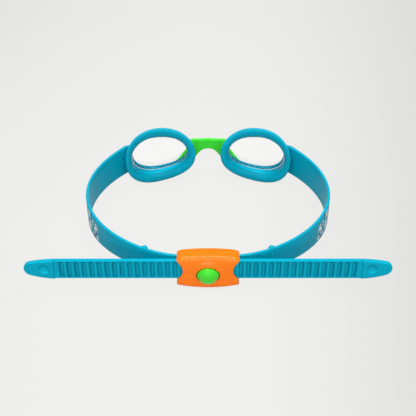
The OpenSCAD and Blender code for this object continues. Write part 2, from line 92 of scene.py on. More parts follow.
def buildView():
    scene = bpy.context.scene
    scene.view_settings.view_transform = "Standard"
    cameraData = bpy.data.cameras.new("shopCamera")
    cameraData.lens = view["lens"]
    cameraData.sensor_width = 36
    cameraData.clip_start = 0.01
    camera = bpy.data.objects.new("shopCamera", cameraData)
    camera.location = view["place"]
    camera.rotation_euler = (math.radians(view["tilt"]), 0, 0)
    scene.collection.objects.link(camera)
    scene.camera = camera

    world = bpy.data.worlds.new("softRoom")
    world.use_nodes = True
    tree = world.node_tree
    light = tree.nodes["Background"]
    fillNode(tree, light, {"Color": (1, 1, 1, 1), "Strength": view["skyLevel"]})
    wall = addNode(tree, "Background", {"Color": view["wallTint"]})      # what stands behind the floor
    rays = addNode(tree, "LightPath").outputs
    sky = mixShaders(tree, rays["Is Camera Ray"], light, wall)
    fillNode(tree, tree.nodes["World Output"], {"Surface": sky})
    scene.world = world

    for name, (place, wide, tall, power) in lamps.items():
        lampData = bpy.data.lights.new(name, "AREA")
        lampData.shape = "RECTANGLE"
        lampData.size = wide
        lampData.size_y = tall
        lampData.energy = power
        lamp = bpy.data.objects.new(name, lampData)
        lamp.location = place
        lamp.rotation_euler = (Vector((0, 0, 0)) - Vector(place)).to_track_quat("-Z", "Y").to_euler()
        scene.collection.objects.link(lamp)
    print("camera and lamps ready")


def closeEdit():
    if bpy.context.mode != "OBJECT":
        bpy.ops.object.mode_set(mode="OBJECT")


def pickNone():
    bpy.ops.object.select_all(action="DESELECT")


def pickAll():      # of the mesh that is open
    bpy.ops.mesh.select_all(action="SELECT")


def onlyPiece(piece):
    closeEdit()
    pickNone()
    piece.select_set(True)
    bpy.context.view_layer.objects.active = piece


def openPiece(piece):      # edit mode with everything selected
    onlyPiece(piece)
    bpy.ops.object.mode_set(mode="EDIT")
    pickAll()


def startPiece(name):      # names the primitive that was just added and opens it in edit mode
    piece = bpy.context.object
    piece.name = name
    piece.data.name = name
    bpy.ops.object.mode_set(mode="EDIT")
    bpy.ops.mesh.select_mode(type="VERT")
    return piece


def endPiece(piece, smooth):
    onlyPiece(piece)
    bpy.ops.object.shade_smooth_by_angle(angle=math.radians(smooth))


def startPick(kind):      # deselects all and gives the open mesh
    bpy.ops.mesh.select_mode(type=kind)
    bpy.ops.mesh.select_all(action="DESELECT")
    return bmesh.from_edit_mesh(bpy.context.object.data)


def pickEdges(test):       # test gets the two ends
    form = startPick("EDGE")
    for edge in form.edges:
        if test(edge.verts[0].co, edge.verts[1].co):
            edge.select_set(True)
    bmesh.update_edit_mesh(bpy.context.object.data)


def pickFaces(test):       # test gets the middle and the normal
    form = startPick("FACE")
    form.normal_update()
    for face in form.faces:
        if test(face.calc_center_median(), face.normal):
            face.select_set(True)
    bmesh.update_edit_mesh(bpy.context.object.data)


def mapVerts(piece, place):      # moves every vertex to place(old position)
    closeEdit()
    for vert in piece.data.vertices:
        vert.co = place(vert.co.copy())
    piece.data.update()


def startBlock(name, low, high):      # a cube laid between two corners, open in edit mode
    pickNone()
    bpy.ops.mesh.primitive_cube_add(size=1, location=(0, 0, 0))
    piece = startPiece(name)
    mapVerts(piece, lambda co: Vector([high[i] if co[i] > 0 else low[i] for i in range(3)]))
    bpy.ops.object.mode_set(mode="EDIT")
    return piece


def cutAt(point, normal):
    pickAll()
    bpy.ops.mesh.bisect(plane_co=point, plane_no=normal)


def roundBlock(reach, offset, segments, cuts):      # rounds the long edges and cuts up the length
    pickEdges(lambda a, b: abs(a.x - b.x) > reach)
    bpy.ops.mesh.bevel(offset=offset, segments=segments, affect="EDGES")
    pickEdges(lambda a, b: abs(a.x - b.x) > reach)
    bpy.ops.mesh.subdivide(number_cuts=cuts)


def faceOut(piece, weld=0.000002):      # merges what touches and turns every face outwards
    openPiece(piece)
    if weld:
        bpy.ops.mesh.remove_doubles(threshold=weld)
    bpy.ops.mesh.normals_make_consistent(inside=False)
    closeEdit()


def applyModifier(piece, kind, **values):
    onlyPiece(piece)
    modifier = piece.modifiers.new(kind.lower(), kind)
    for key, value in values.items():
        setattr(modifier, key, value)
    bpy.ops.object.modifier_apply(modifier=modifier.name)


def drillOut(piece):      # cuts away the primitive that was just added
    drill = bpy.context.object
    applyModifier(piece, "BOOLEAN", operation="DIFFERENCE", object=drill, solver="EXACT")
    bpy.data.objects.remove(drill, do_unlink=True)


def roundEdges(piece, width, segments):
    applyModifier(piece, "BEVEL", width=width, segments=segments, limit_method="ANGLE",
                  angle_limit=math.radians(40))


def softenPiece(piece, voxel, rounds):
    applyModifier(piece, "REMESH", mode="VOXEL", voxel_size=voxel, use_smooth_shade=True)
    applyModifier(piece, "SMOOTH", factor=0.5, iterations=rounds)


def joinPieces(main, *others):
    onlyPiece(main)
    for other in others:
        other.select_set(True)
    bpy.ops.object.join()


def duplicatePiece(source, name):      # a copy with its own mesh
    onlyPiece(source)
    bpy.ops.object.duplicate()
    piece = bpy.context.object
    piece.name = name
    piece.data.name = name
    return piece


def mirrorPiece(piece, name):      # the left-hand copy
    twin = duplicatePiece(piece, name)
    openPiece(twin)
    bpy.ops.transform.mirror(constraint_axis=(True, False, False), center_override=(0, 0, 0))
    faceOut(twin, 0)
    return twin


def copyNode(node, name):      # a merged copy of a CAD node, free to be changed
    piece = duplicatePiece(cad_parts[node], name)
    openPiece(piece)
    bpy.ops.mesh.remove_doubles(threshold=0.000005)
    closeEdit()
    piece.data.materials.clear()
    return piece


def mapPrint(piece, lay, printed):      # lay gives metres along and across, other faces lie a metre away
    closeEdit()
    layer = piece.data.uv_layers.get("printMap") or piece.data.uv_layers.new(name="printMap")
    for face in piece.data.polygons:
        shift = 0 if printed(face.center, face.normal) else 1
        for index in face.loop_indices:
            u, v = lay(piece.data.vertices[piece.data.loops[index].vertex_index].co)
            layer.data[index].uv = (u + shift, v)


def outerFace(middle, normal):      # on a block that isn't bent yet
    return normal.y < -0.3


def dress(piece, material):
    piece.data.materials.clear()
    piece.data.materials.append(material)


def settle(piece, node, body, material):
    dress(piece, material)
    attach(piece, body)
    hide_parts(node)


def settlePair(right, leftName, node, material):      # mirrors a piece and settles both
    left = mirrorPiece(right, leftName)
    settle(right, node + "_right", "goggles", material)
    settle(left, node + "_left", "goggles", material)
    return left


def tone(red, green, blue):      # display values 0 to 255 to a plain colour
    def straight(value):
        value /= 255
        return value / 12.92 if value <= 0.04045 else ((value + 0.055) / 1.055) ** 2.4
    return (straight(red), straight(green), straight(blue), 1)


def startMaterial(name):
    material = bpy.data.materials.new(name)
    material.use_nodes = True
    return material, material.node_tree, material.node_tree.nodes["Principled BSDF"]


def baseOf(material):      # the tree, the shader and the colour that it has so far
    tree = material.node_tree
    shader = tree.nodes["Principled BSDF"]
    return tree, shader, shader.inputs["Base Color"].links[0].from_socket


def startGroup(name, inputs, outputs):      # inputs come with their usual values, outputs with their kinds
    group = bpy.data.node_groups.new(name, "ShaderNodeTree")
    sockets = group.interface
    sockets.new_socket(name="Vector", in_out="INPUT", socket_type="NodeSocketVector")
    for label, value in inputs.items():
        kind = "NodeSocketFloat" if isinstance(value, (int, float)) else "NodeSocketColor"
        sockets.new_socket(name=label, in_out="INPUT", socket_type=kind).default_value = value
    for label, kind in outputs.items():
        sockets.new_socket(name=label, in_out="OUTPUT", socket_type="NodeSocket" + kind)
    return group, group.nodes.new("NodeGroupInput").outputs, group.nodes.new("NodeGroupOutput")


moulding = {      # what all the solid finishes share
    "cloudScale": 140,
    "cloudFrom": 0.3,
    "cloudTo": 0.7,
    "roughDrift": 0.05,
    "bumpDepth": 0.0002,
    "bending": 1.45,
    "coatRoughness": 0.2,
}


def grainGroup():      # colour drift, roughness drift and a fine moulded grain
    group, given, out = startGroup(
        "mouldedGrain", {"Tone": (0.5, 0.5, 0.5, 1), "Drift": 0.1, "Roughness": 0.5, "Grain Size": 4000},
        {"Tone": "Color", "Roughness": "Float", "Height": "Float"})
    where = given["Vector"]
    cloud = addNode(group, "TexNoise", {"Vector": where, "Scale": moulding["cloudScale"], "Detail": 4})
    grain = addNode(group, "TexNoise", {"Vector": where, "Scale": given["Grain Size"], "Detail": 2})
    drift = addNode(group, "MapRange", {"Value": cloud.outputs["Fac"], "From Min": moulding["cloudFrom"],
                                        "From Max": moulding["cloudTo"], "To Min": -1, "To Max": 1})
    swing = drift.outputs["Result"]
    fillNode(group, out, {
        "Tone": scaleTone(group, given["Tone"], addMath(group, "MULTIPLY_ADD", swing, given["Drift"], 1)),
        "Roughness": addMath(group, "MULTIPLY_ADD", swing, moulding["roughDrift"], given["Roughness"]),
        "Height": grain.outputs["Fac"],
    })
    return group


def bubbleGroup():      # soft round dots of mixed sizes inside a window of the print map
    group, given, out = startGroup(
        "bubblePrint", {"From": 0, "To": 0.02, "Half Height": 0.005, "Scale": 300, "Dot Size": 0.3},
        {"Mask": "Float"})
    maths = partial(addMath, group)
    pattern = {"Vector": given["Vector"], "Scale": given["Scale"], "Randomness": 0.75}
    cells = addNode(group, "TexVoronoi", pattern, voronoi_dimensions="2D")
    apart = addNode(group, "SeparateColor", {0: cells.outputs["Color"]})
    place = addNode(group, "SeparateXYZ", {0: given["Vector"]}).outputs
    radius = maths("MULTIPLY", apart.outputs[0], given["Dot Size"])      # each cell has a dot of its own size
    mask = maths("LESS_THAN", cells.outputs["Distance"], radius)
    for gate in (maths("GREATER_THAN", place["X"], given["From"]),
                 maths("LESS_THAN", place["X"], given["To"]),
                 maths("LESS_THAN", maths("ABSOLUTE", place["Y"]), given["Half Height"])):
        mask = maths("MULTIPLY", mask, gate)
    fillNode(group, out, {"Mask": mask})
    return group


finish = {      # tone, drift, roughness, grain per metre, bump, shine, coat
    "siliconeTeal": (tone(0, 164, 191), 0.05, 0.36, 2600, 0.05, 0.1, 0.0),
    "strapTeal": (tone(0, 164, 191), 0.05, 0.38, 2600, 0.06, 0.08, 0.0),
    "frameTeal": (tone(0, 160, 187), 0.04, 0.3, 5200, 0.04, 0.12, 0.0),
    "siliconeGreen": (tone(70, 228, 62), 0.05, 0.42, 2600, 0.05, 0.05, 0.0),
    "clipOrange": (tone(255, 122, 0), 0.03, 0.3, 5200, 0.015, 0.06, 0.48),
    "buttonGreen": (tone(60, 214, 34), 0.03, 0.26, 5200, 0.01, 0.12, 0.6),
}


def solidFinish(name, grain):
    colour, drift, roughness, size, bumpLevel, shine, coat = finish[name]
    material, tree, shader = startMaterial(name)
    where = addNode(tree, "TexCoord")
    effect = addNode(tree, "Group", node_tree=grain)
    fillNode(tree, effect, {"Vector": where.outputs["Object"], "Tone": colour, "Drift": drift,
                            "Roughness": roughness, "Grain Size": size})
    bump = addNode(tree, "Bump", {"Height": effect.outputs["Height"], "Strength": bumpLevel,
                                  "Distance": moulding["bumpDepth"]})
    fillNode(tree, shader, {
        "IOR": moulding["bending"],
        "Specular IOR Level": shine,
        "Coat Weight": coat,
        "Coat Roughness": moulding["coatRoughness"],
        "Base Color": effect.outputs["Tone"],
        "Roughness": effect.outputs["Roughness"],
        "Normal": bump.outputs["Normal"],
    })
    return material


prints = {      # from, to and half height in metres, dots per metre, dot size, colour
    "armFoam": (-0.001, 0.012, 0.0092, 230, 0.42, tone(222, 232, 232)),
    "armDots": (-0.001, 0.012, 0.0098, 310, 0.5, tone(18, 44, 78)),
    "strapFoam": (0.069, 0.158, 0.0046, 190, 0.46, tone(222, 232, 232)),
    "strapDots": (0.071, 0.158, 0.0054, 290, 0.5, tone(18, 44, 78)),
    "cupDots": (0.012, 0.042, 0.02, 260, 0.42, tone(18, 44, 78)),
}


def addPrint(material, name, bubbles):
    start, end, half, scale, size, colour = prints[name]
    tree, shader, under = baseOf(material)
    printMap = addNode(tree, "UVMap", uv_map="printMap")
    effect = addNode(tree, "Group", node_tree=bubbles)
    fillNode(tree, effect, {"Vector": printMap.outputs["UV"], "From": start, "To": end, "Half Height": half,
                            "Scale": scale, "Dot Size": size})
    mix = addNode(tree, "Mix", {0: effect.outputs["Mask"], 6: under, 7: colour}, data_type="RGBA")
    fillNode(tree, shader, {"Base Color": mix.outputs[2]})


def addSealLightPaint(material, gain):      # painted light and shade on the seal's inside: lighter in the bowl, with dark lines at the window and along the lip
    tree, shader, under = baseOf(material)
    wall = addNode(tree, "Attribute", attribute_name="sealLightShade")
    lift = addMath(tree, "MULTIPLY_ADD", wall.outputs["Fac"], gain, 1)
    fillNode(tree, shader, {"Base Color": scaleTone(tree, under, lift)})


def tintRange(tree, colour, low, high):
    scaled = addNode(tree, "MapRange", {6: colour, 9: low, 10: high}, data_type="FLOAT_VECTOR")
    return scaled.outputs["Vector"]


steel = {
    "marks": (300, 300, 6000),      # turned marks run round the pin
    "dark": (0.55, 0.55, 0.56),
    "pale": (0.78, 0.78, 0.77),
    "smoother": 0.06,
    "rougher": 0.08,
}


def steelFinish(name, roughness):
    material, tree, shader = startMaterial(name)
    where = addNode(tree, "TexCoord")
    stretch = addNode(tree, "Mapping", {"Vector": where.outputs["Object"], "Scale": steel["marks"]})
    marks = addNode(tree, "TexNoise", {"Vector": stretch.outputs["Vector"], "Scale": 1, "Detail": 3})
    rough = addNode(tree, "MapRange", {"Value": marks.outputs["Fac"], "To Min": roughness - steel["smoother"],
                                       "To Max": roughness + steel["rougher"]})
    fillNode(tree, shader, {
        "Metallic": 1,
        "Base Color": tintRange(tree, marks.outputs["Color"], steel["dark"], steel["pale"]),
        "Roughness": rough.outputs["Result"],
    })
    return material


haze = {
    "scale": 900,
    "from": 0.35,
    "to": 0.8,
    "shadow": (0.94, 0.95, 0.95, 1),      # what gets through to the floor
}

glass = {      # bending, darkest and lightest tint, most roughness
    "lensClear": (1.5, (0.98, 0.99, 0.99), (1, 1, 1), 0.03),
    "lensEdge": (1.12, (0.62, 0.86, 0.9), (0.74, 0.94, 0.97), 0.06),
}


def lensFinish(name):
    bending, low, high, most = glass[name]
    material, tree, shader = startMaterial(name)
    where = addNode(tree, "TexCoord").outputs["Object"]
    cloud = addNode(tree, "TexNoise", {"Vector": where, "Scale": haze["scale"], "Detail": 3})
    rough = addNode(tree, "MapRange", {"Value": cloud.outputs["Fac"], "From Min": haze["from"],
                                       "From Max": haze["to"], "To Min": 0, "To Max": most})
    fillNode(tree, shader, {
        "Transmission Weight": 1,
        "IOR": bending,
        "Metallic": 0,
        "Roughness": rough.outputs["Result"],
        "Base Color": tintRange(tree, cloud.outputs["Color"], low, high),
    })
    clear = addNode(tree, "BsdfTransparent", {"Color": haze["shadow"]})      # lets the lamps through
    rays = addNode(tree, "LightPath").outputs
    surface = mixShaders(tree, rays["Is Shadow Ray"], shader, clear)
    fillNode(tree, tree.nodes["Material Output"], {"Surface": surface})
    return material


ground = {
    "size": 6,
    "tint": (0.89, 0.89, 0.872),
    "glow": 0.94,           # how much of the floor's colour ignores the lamps
    "bounce": 0.38,
    "through": 0.085,       # painted light: how much brighter the floor glows where it is seen through the lenses
    "fanPoint": 0.4744,     # the painted shade's fall-off fans out from this far behind the middle, on the clip's side
    "fanLeast": 0.15,
    "right": 1.85,
    "left": 0.25,
    "leftFurther": 0.6,
    "back": 0.036,
    "backReach": 0.5,
    "most": 0.26,
    "from": -1,             # it starts between these two
    "to": -0.16,
}


def floorFinish():
    material, tree, _ = startMaterial("paleFloor")
    tree.nodes.clear()
    maths = partial(addMath, tree)
    where = addNode(tree, "TexCoord")
    place = addNode(tree, "SeparateXYZ", {0: where.outputs["Object"]}).outputs
    rays = addNode(tree, "LightPath").outputs

    ahead = maths("MAXIMUM", maths("ADD", place["Y"], ground["fanPoint"]), ground["fanLeast"])
    fan = maths("DIVIDE", place["X"], ahead)
    right, left = maths("MAXIMUM", fan, 0), maths("MINIMUM", fan, 0)      # painted shade: darker to the right and the back
    back = maths("MINIMUM", maths("MAXIMUM", maths("DIVIDE", place["Y"], ground["backReach"]), 0), 1)
    leftShare = maths("ADD", maths("MULTIPLY", back, ground["leftFurther"]), ground["left"])
    fall = maths("ADD", maths("MULTIPLY", maths("MULTIPLY", right, right), ground["right"]),
                 maths("MULTIPLY", maths("MULTIPLY", left, left), leftShare))
    fall = maths("ADD", fall, maths("MULTIPLY", back, ground["back"]))
    fall = maths("MULTIPLY", maths("TANH", maths("DIVIDE", fall, ground["most"])), ground["most"])
    start = addNode(tree, "MapRange", interpolation_type="SMOOTHSTEP")
    fillNode(tree, start, {"Value": place["Y"], "From Min": ground["from"], "From Max": ground["to"]})
    fall = maths("MULTIPLY", fall, start.outputs["Result"])

    # the floor's glow, with painted light where it is seen through the lenses
    glow = addNode(tree, "Emission", {
        "Color": scaleTone(tree, ground["tint"], maths("SUBTRACT", 1, fall)),
        "Strength": maths("MULTIPLY_ADD", rays["Is Transmission Ray"], ground["through"], 1),
    })
    diffuse = addNode(tree, "BsdfDiffuse", {"Color": (*[ground["bounce"]] * 3, 1)})
    seen = maths("MAXIMUM", maths("MAXIMUM", rays["Is Camera Ray"], rays["Is Glossy Ray"]),
                 rays["Is Transmission Ray"])
    surface = mixShaders(tree, maths("MULTIPLY", seen, ground["glow"]), diffuse, glow)
    addNode(tree, "OutputMaterial", {"Surface": surface})
    return material


def buildFloor():
    pickNone()
    bpy.ops.mesh.primitive_plane_add(size=ground["size"], location=(0, 0, 0))
    floor = bpy.context.object
    floor.name = "paleFloor"
    floor.data.materials.append(floorFinish())


cup = {      # millimetres: a rim on the face and a lens in front of it
    "middleX": 32,
    "rimWidth": 47,
    "rimHeight": 40.3,
    "roll": 4.5,
    "square": 2.2,
    "egg": 0.13,
    "lensY": 65.19375,
    "depth": 11.6,
    "rimSlope": 0.239,
    "rimBow": 0.012,
    "lensSlope": 0.15,
    "lensBow": 0.004,
    "lipWidth": 6.4,
    "lipSide": 0.71,
    "frameSide": 1.7,
    "frameRim": 5.65,
    "lensOut": 1.3,
    "steps": 72,
    "blankRadius": 20,      # the round blank that is pressed to the cup's shape
    "blankHeight": 11,
    "weld": 0.0005,
    "wallTurn": 0.7,        # a lens face that looks less than this ahead or back is in its side wall
}

sealLightPaint = {      # painted light on the seal's inside, strongest low in the bowl, and painted shade lines along its window and the lip's upper half
    "least": 0.45,
    "below": 0.95,
    "power": 4,
    "windowShadeLine": -1.1,
    "lipShadeLine": -1.2,
    "gain": 0.45,
}


def blendOf(a, b, share):
    return a + (b - a) * share


def signedPower(value):
    return math.copysign(abs(value) ** (2 / cup["square"]), value)


def cupPlan(angle, inset, s, k):      # offsets from the cup's middle
    c = signedPower(math.cos(angle))
    side = blendOf(cup["lipSide"], 1, s)
    u = (cup["rimWidth"] / 2 - s * cup["frameSide"] - inset * side) * k * c
    u += cup["lensOut"] * min(1, s + inset / (1.5 * cup["lipWidth"]))
    v = (cup["rimHeight"] / 2 - s * cup["frameRim"] - inset) * k
    v *= signedPower(math.sin(angle)) * (1 + cup["egg"] * c)
    roll = math.radians(cup["roll"])
    return u * math.cos(roll) + v * math.sin(roll), v * math.cos(roll) - u * math.sin(roll)


cupMiddleZ = -min(cupPlan(math.radians(a), 0, 0, 1)[1] for a in range(360))


def cupPoint(angle, inset, s, dy, k=1):
    dx, dz = cupPlan(angle, inset, s, k)
    rim = cup["lensY"] - cup["depth"] - cup["rimSlope"] * dx - cup["rimBow"] * dx * dx
    lens = cup["lensY"] - cup["lensSlope"] * dx - cup["lensBow"] * dx * dx
    return Vector((cup["middleX"] + dx, blendOf(rim, lens, s) + dy, cupMiddleZ + dz)) * 0.001


# painted light for the seal's inside spots, most low in the bowl; painted shade along the window's edge and
# along the lip's inner edge over its upper half
def sealLightAt(spot, rise, inner):
    if spot == inner[-1]:
        return sealLightPaint["windowShadeLine"]
    if spot == inner[0] - 1:
        return sealLightPaint["lipShadeLine"] * max(0, rise)
    return sealLightPaint["least"] + sealLightPaint["below"] * max(0, -rise) ** sealLightPaint["power"] if spot in inner else 0


def cupRing(name, profile, closed, inner=None):      # inner names the profile's points on the seal's inside
    drawn = [((cup["blankRadius"] - inset) * k, cup["blankHeight"] * s + dy) for inset, s, dy, k in profile]
    path = drawn + drawn[:1] if closed else drawn
    pickNone()
    bpy.ops.mesh.primitive_plane_add(size=1, location=(0, 0, 0))
    piece = startPiece(name)
    pickAll()
    bpy.ops.mesh.merge(type="CENTER")
    bpy.ops.transform.translate(value=(drawn[0][0], 0, drawn[0][1]))
    for a, b in zip(path, path[1:]):
        bpy.ops.mesh.extrude_region_move(TRANSFORM_OT_translate={"value": (b[0] - a[0], 0, b[1] - a[1])})
    pickAll()
    bpy.ops.mesh.remove_doubles(threshold=cup["weld"])
    pickAll()
    bpy.ops.mesh.spin(steps=cup["steps"], angle=2 * math.pi, center=(0, 0, 0), axis=(0, 0, 1))
    pickAll()
    bpy.ops.mesh.remove_doubles(threshold=cup["weld"])
    closeEdit()

    spots = []

    def press(co):
        rho, h, angle = math.hypot(co.x, co.y), co.z, math.atan2(co.y, co.x)
        nearest = min(range(len(drawn)), key=lambda i: (drawn[i][0] - rho) ** 2 + (drawn[i][1] - h) ** 2)
        spots.append((nearest, math.sin(angle)))
        inset, s, dy, k = profile[nearest]
        return cupPoint(angle, inset, s, dy, k)

    mapVerts(piece, press)
    # painted light and shade on the seal's inside
    sealLightShade = piece.data.attributes.new("sealLightShade", "FLOAT", "POINT")
    if inner:
        for point, (spot, rise) in zip(sealLightShade.data, spots):
            point.value = sealLightAt(spot, rise, inner)
    faceOut(piece)
    return piece


sealProfile = [      # inset, share of the way to the lens, depth, scale
    (0.0, 0, 2.1, 1), (0.05, 0, 1.5, 1), (0.35, 0, 0.85, 1), (1.1, 0, 0.3, 1), (2.2, 0, 0.03, 1),
    (3.4, 0, 0.05, 1), (4.7, 0, 0.4, 1), (5.7, 0, 1.0, 1), (6.25, 0.03, 1.6, 1), (5.7, 0.2, 0.1, 1),
    (4.4, 0.52, -2.6, 1), (3.1, 0.86, -5.6, 1), (2.62, 1, -6.95, 1), (1.1, 1, -6.96, 1), (1.08, 1, -8.02, 1),
    (0.68, 1, -8.06, 1), (1.0, 0.8, -6.1, 1), (1.5, 0.45, -2.4, 1), (1.7, 0.2, 1.2, 1), (1.2, 0.05, 2.3, 1),
    (0.4, 0, 2.6, 1),
]

lensProfile = [
    (2.6, 1, -0.2, 0.012), (2.6, 1, -0.2, 0.35), (2.6, 1, -0.2, 0.7), (2.6, 1, -0.2, 0.97),
    (2.25, 1, -0.2, 1), (1.9, 1, -0.32, 1), (1.8, 1, -0.7, 1), (1.8, 1, -5.78, 1), (1.06, 1, -5.8, 1),
    (1.05, 1, -6.88, 1), (2.6, 1, -6.9, 1), (2.6, 1, -6.7, 1), (2.6, 1, -2.1, 1), (2.66, 1, -1.9, 1),
    (2.6, 1, -1.9, 0.94), (2.6, 1, -1.9, 0.7), (2.6, 1, -1.9, 0.35), (2.6, 1, -1.9, 0.012),
]

bezelProfile = [
    (1.75, 1, -5.7, 1), (1.75, 1, -0.35, 1), (1.65, 1, -0.08, 1), (1.4, 1, 0, 1), (0.75, 1, 0, 1),
    (0.35, 1, -0.1, 1), (0.1, 1, -0.4, 1), (0, 1, -0.9, 1), (0, 1, -7.6, 1), (0.1, 1, -7.9, 1),
    (0.35, 1, -8, 1), (0.85, 1, -8, 1), (1.0, 1, -7.85, 1), (1.0, 1, -5.85, 1), (1.1, 1, -5.72, 1),
]


strap = {      # millimetres
    "thick": 1.8,
    "armThick": 2.8,
    "width": 11.3,
    "armWidth": 19.7,
    "clipZ": 11.8,
    "armZ": 18.6,
    "pinX": 11.5,
    "pinY": -60.25,
    "turn": 2.55,
    "exitX": 17.5,
    "armEnd": (56.4, 51.99375),
    "armAim": (-0.622, 0.783),
    "armLead": 43,
    "straight": 25.5,
    "bow": 86.5,
    "bowAhead": 29.7,
    "steps": 400,          # for the distances along the loop
    "cuts": 150,
    "turnCuts": 14,
    "edge": 0.0005,        # in metres
    "widthGrow": 1.23,     # the width and the height grow in a curve towards the arm
    "widthEase": 0.23,
    "heightGrow": 0.75,
    "heightEase": 0.25,
    "thickFrom": 0.86,     # the last share of the run thickens over the tongue
    "thickOver": 0.14,
    "nubX": 34.8,
    "nubOut": 0.4,
    "nubOver": 1.5,
    "nubRadius": 1.8,
    "nubRound": 0.9,
}
loopY = strap["pinY"] + strap["turn"]
armEnd = Vector(strap["armEnd"])
armAim = Vector(strap["armAim"])
plan = [
    Vector((strap["exitX"], loopY)),
    Vector((strap["exitX"] + strap["straight"], loopY)),
    Vector((strap["bow"], loopY + strap["bowAhead"])),
    armEnd - armAim * strap["armLead"],
    armEnd,
]


def along(points, t):
    if len(points) == 1:
        return points[0]
    return along([a.lerp(b, t) for a, b in zip(points, points[1:])], t)


def planAim(t):
    return along([b - a for a, b in zip(plan, plan[1:])], t).normalized()


def planLengths():      # distance along the loop at each step of t
    run, last, out = 0, plan[0], [0]
    for i in range(1, strap["steps"] + 1):
        here = along(plan, i / strap["steps"])
        run += (here - last).length
        last = here
        out.append(run)
    return out


loopRun = planLengths()
turnRun = math.pi * strap["turn"]
leadRun = strap["exitX"] - strap["pinX"]
strapRun = turnRun + leadRun + loopRun[-1]


def loopShare(distance):      # t for a distance along the loop
    low, high = 0, len(loopRun) - 1
    while high - low > 1:
        mid = (low + high) // 2
        if loopRun[mid] <= distance:
            low = mid
        else:
            high = mid
    part = (distance - loopRun[low]) / (loopRun[high] - loopRun[low])
    return min(1, (low + part) / (len(loopRun) - 1))


def strapWidth(t):
    grow = strap["widthGrow"] * t - strap["widthEase"] * t ** 4
    return strap["width"] + (strap["armWidth"] - strap["width"]) * grow


def strapHeight(t):
    grow = strap["heightGrow"] * t + strap["heightEase"] * t * t
    return strap["clipZ"] + (strap["armZ"] - strap["clipZ"]) * grow


def strapThick(t):
    grow = max(0, (t - strap["thickFrom"]) / strap["thickOver"]) ** 2
    return strap["thick"] + (strap["armThick"] - strap["thick"]) * grow


def strapPoint(run, out, up):      # run along the strap, out towards the head, up from its middle, all mm
    if run < turnRun:
        a = math.radians(270) - run / strap["turn"]
        reach = strap["turn"] + out
        x, y = strap["pinX"] + reach * math.cos(a), strap["pinY"] + reach * math.sin(a)
        return Vector((x, y, strap["clipZ"] + up)) * 0.001
    if run < turnRun + leadRun:
        return Vector((strap["pinX"] + run - turnRun, loopY + out, strap["clipZ"] + up)) * 0.001
    t = loopShare(run - turnRun - leadRun)
    here, aim = along(plan, t), planAim(t)
    out *= strapThick(t) / strap["thick"]
    up *= strapWidth(t) / strap["width"]
    return Vector((here.x - aim.y * out, here.y + aim.x * out, strapHeight(t) + up)) * 0.001


sealPrint = {      # metres
    "round": 0.022,       # length of print for each radian round the cup
    "middleY": 0.0605,
    "across": 1.9,        # how much the dots are squeezed from front to back
    "outside": 0.008,
}


def buildSeals(material):
    right = cupRing("eyecupRight", sealProfile, True, (9, 10, 11, 12))
    applyModifier(right, "SUBSURF", levels=2, render_levels=2)
    endPiece(right, 60)
    middle = Vector((cup["middleX"], 0, cupMiddleZ)) * 0.001

    def lay(co):      # round the cup from the nose side over the top
        angle = math.atan2(co.z - middle.z, middle.x - co.x)
        return angle * sealPrint["round"], (co.y - sealPrint["middleY"]) * sealPrint["across"]

    mapPrint(right, lay, lambda spot, normal: (spot - middle).dot(normal) > sealPrint["outside"])
    settlePair(right, "eyecupLeft", "eyecup_seal", material)
    print("eyecup seals ready")


def buildLenses(material, edgeMaterial):
    right = cupRing("lensRight", lensProfile, False)
    openPiece(right)
    bpy.ops.mesh.fill_holes(sides=0)      # the two small openings at the poles
    faceOut(right, 0)
    endPiece(right, 30)
    left = settlePair(right, "lensLeft", "lens", material)
    for piece in (right, left):      # the side wall, seen through to the moulding round it
        piece.data.materials.append(edgeMaterial)
        for face in piece.data.polygons:
            face.material_index = 1 if abs(face.normal.y) < cup["wallTurn"] else 0
    print("lenses ready")


arm = {      # millimetres and degrees
    "cuts": 24,
    "edge": 0.16,         # rounding of the block that becomes the arm, which is 2 across
    "slices": (-0.7, -0.4, -0.1, 0.2, 0.5, 0.8),      # they let the root follow the bezel's outline
    "lowAngle": -36,
    "highAngle": 28,
    "rootInset": 0.5,
    "rootInner": -1.4,
    "rootOuter": -6.1,
    "ease": 0.35,
    "printAlong": 0.006,
    "printAcross": 0.01,
    "tongueWidth": 12.8,
    "tongueLength": 8,
    "tongueLap": 0.3,
    "tongueSlices": (-2.4, -0.8, 0.8, 2.4),
    "hole": 1.4,
    "holePlaces": (-0.28, 0.28),      # as shares of the tongue's width
}


def armPoint(share, out, up):      # out and up run from -1 to 1
    side = Vector((-armAim.y, armAim.x))
    near = armEnd + side * out * strap["armThick"] / 2
    start = Vector((near.x, near.y, strap["armZ"] + up * strap["armWidth"] / 2)) * 0.001
    angle = math.radians(blendOf(arm["lowAngle"], arm["highAngle"], (up + 1) / 2))
    root = cupPoint(angle, arm["rootInset"], 1, blendOf(arm["rootInner"], arm["rootOuter"], (out + 1) / 2))
    soft = share * share * (3 - 2 * share)
    return start.lerp(root, blendOf(share, soft, arm["ease"]))


